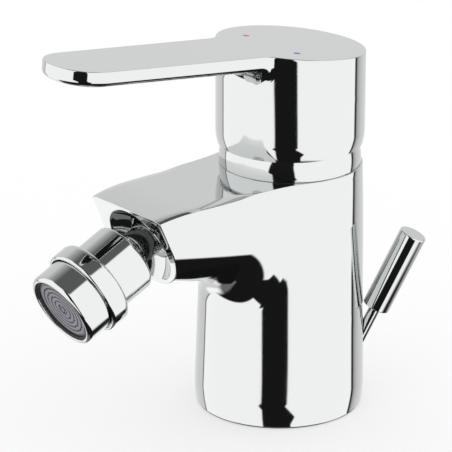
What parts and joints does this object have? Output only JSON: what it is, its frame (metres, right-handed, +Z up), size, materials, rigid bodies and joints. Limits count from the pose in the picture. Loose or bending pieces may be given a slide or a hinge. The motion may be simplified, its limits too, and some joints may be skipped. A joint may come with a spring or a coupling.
{
  "type": "bidet mixer",
  "caption": "Deck-mounted single-lever bidet mixer: round tapered body, short flat-topped spout with a ball-jointed aerator, thin blade lever on a round cap, and a pull knob for the waste.",
  "frame": {"origin": "centre of the foot's flat underside, on the deck", "axes": "+Z up, square to the deck; -Y the way the spout and lever point; +X to the right of a user who faces the spout from behind the mixer"},
  "size_m": [0.0565, 0.1219, 0.1231],
  "materials": {
    "chrome": "polished chrome plate",
    "brass": "turned brass",
    "steel": "bright steel",
    "seal_rubber": "black rubber",
    "ceramic": "lapped white ceramic",
    "white_plastic": "moulded acetal",
    "insert_plastic": "grey moulded plastic",
    "plug_plastic": "chromed plastic",
    "hot_red": "red enamel",
    "cold_blue": "blue enamel"
  },
  "bodies": {
    "root": {"body_casting": "chrome", "base_gasket": "seal_rubber", "rod_guide_bush": "white_plastic", "cartridge_base": "white_plastic", "port_seals": "seal_rubber", "fixed_ceramic_disc": "ceramic", "cartridge_housing": "white_plastic", "cartridge_nut": "brass", "dome_collar": "chrome", "ball_stud": "chrome", "ball_seal": "seal_rubber"},
    "rotor": {"cartridge_rotor": "white_plastic", "stem_pivot_pin": "steel"},
    "disc": {"moving_ceramic_disc": "ceramic", "disc_slider": "white_plastic"},
    "lever": {"lever_stem": "brass", "handle": "chrome", "handle_grub_screw": "steel", "screw_plug": "plug_plastic", "hot_dot": "hot_red", "cold_dot": "cold_blue"},
    "swing_ring": {"rear_slip_ring": "white_plastic"},
    "tilt_ring": {"front_seat_ring": "white_plastic"},
    "aerator": {"swivel_sleeve": "chrome", "seat_clamp_ring": "brass", "aerator_housing": "chrome", "outlet_seal": "seal_rubber", "jet_insert": "insert_plastic", "aerator_core": "white_plastic"},
    "pull_rod": {"lift_rod": "chrome", "lift_knob": "chrome"}
  },
  "joints": [
    {"name": "temperature_turn", "type": "hinge", "parent": "root", "child": "rotor", "pos_m": [0, 0.0038, 0.077], "axis": [0, 0, 1], "range_deg": [-45, 45]},
    {"name": "flow_lift", "type": "hinge", "parent": "rotor", "child": "lever", "pos_m": [0, 0.0038, 0.077], "axis": [-1, 0, 0], "range_deg": [0, 15]},
    {"name": "disc_travel", "type": "slide", "parent": "rotor", "child": "disc", "axis": [0, -1, 0], "range_m": [0, 0.0034]},
    {"name": "aerator_swing", "type": "hinge", "parent": "root", "child": "swing_ring", "pos_m": [0, -0.0623, 0.05835], "axis": [0, -0.4258, 0.9048], "range_deg": [-15, 15]},
    {"name": "aerator_tilt", "type": "hinge", "parent": "swing_ring", "child": "tilt_ring", "pos_m": [0, -0.0623, 0.05835], "axis": [1, 0, 0], "range_deg": [-15, 15]},
    {"name": "aerator_spin", "type": "hinge", "parent": "tilt_ring", "child": "aerator", "pos_m": [0, -0.0623, 0.05835], "axis": [0, -0.9048, -0.4258], "continuous": true},
    {"name": "pull_rod_slide", "type": "slide", "parent": "root", "child": "pull_rod", "axis": [0.2932, 0.2932, 0.91], "range_m": [0, 0.01]}
  ],
  "couplings": [
    {"joint": "disc_travel", "follows": "flow_lift", "m_per_rad": 0.0124}
  ]
}
